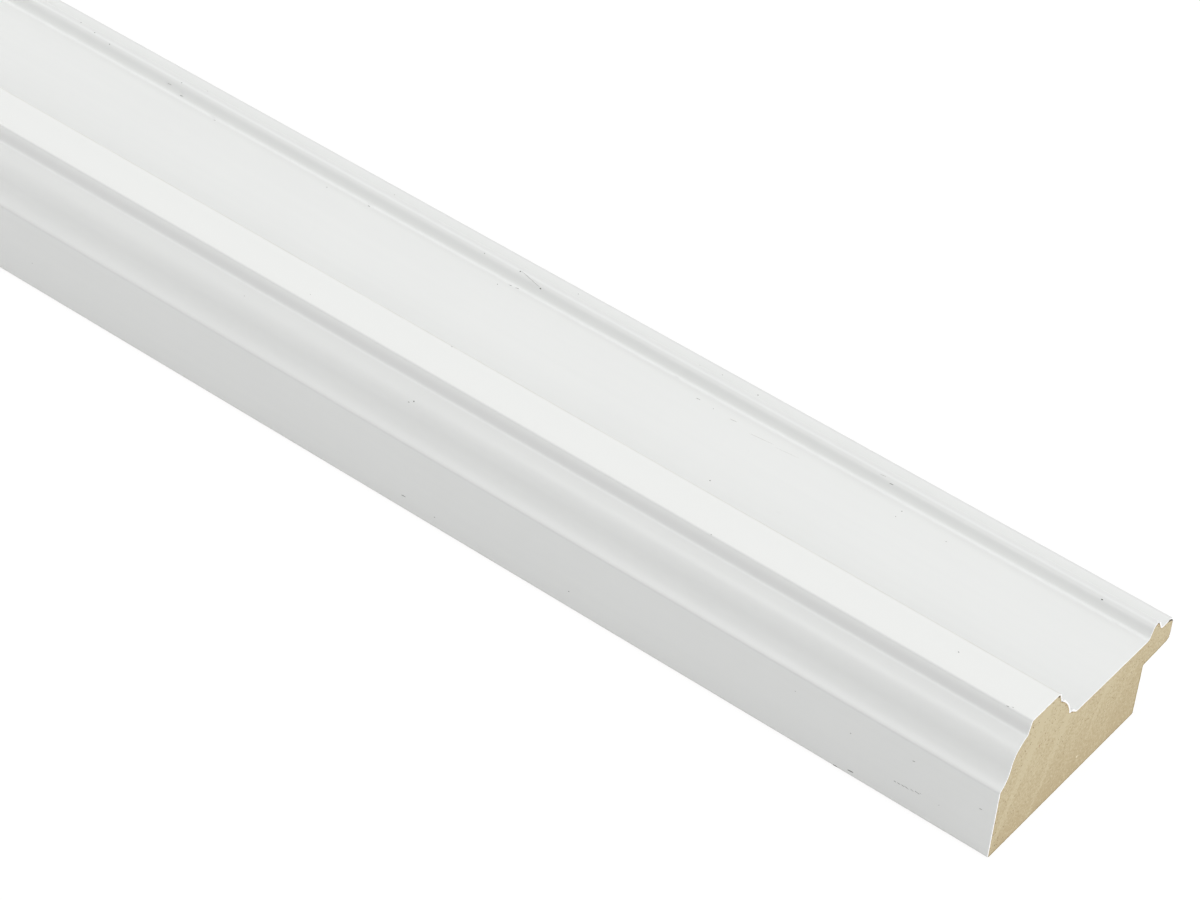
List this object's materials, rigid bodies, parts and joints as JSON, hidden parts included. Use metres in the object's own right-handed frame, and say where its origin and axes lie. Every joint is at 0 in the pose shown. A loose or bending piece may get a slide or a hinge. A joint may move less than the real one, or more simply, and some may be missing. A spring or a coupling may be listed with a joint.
{
  "type": "picture frame moulding",
  "caption": "Straight stick of profiled frame moulding in MDF with a satin white coat, a stepped and rounded face, a bead by the sight edge and a rabbet behind the lip.",
  "frame": {"origin": "middle of the length, on the plane of the flat back, under the middle of the whole width", "axes": "+X along the stick, +Y across it from the outer side to the sight edge, +Z from the flat back towards the face"},
  "size_m": [2.44, 0.0544, 0.028],
  "materials": {
    "moulding": "satin white coat about 0.3 mm thick on the face, the outer side and the sight edge",
    "bare_mdf": "bare tan MDF on the back, in the rabbet and on the sawn ends, with fine dark flecks and faint saw marks"
  },
  "bodies": {
    "root": {"moulding": "moulding"}
  },
  "joints": []
}
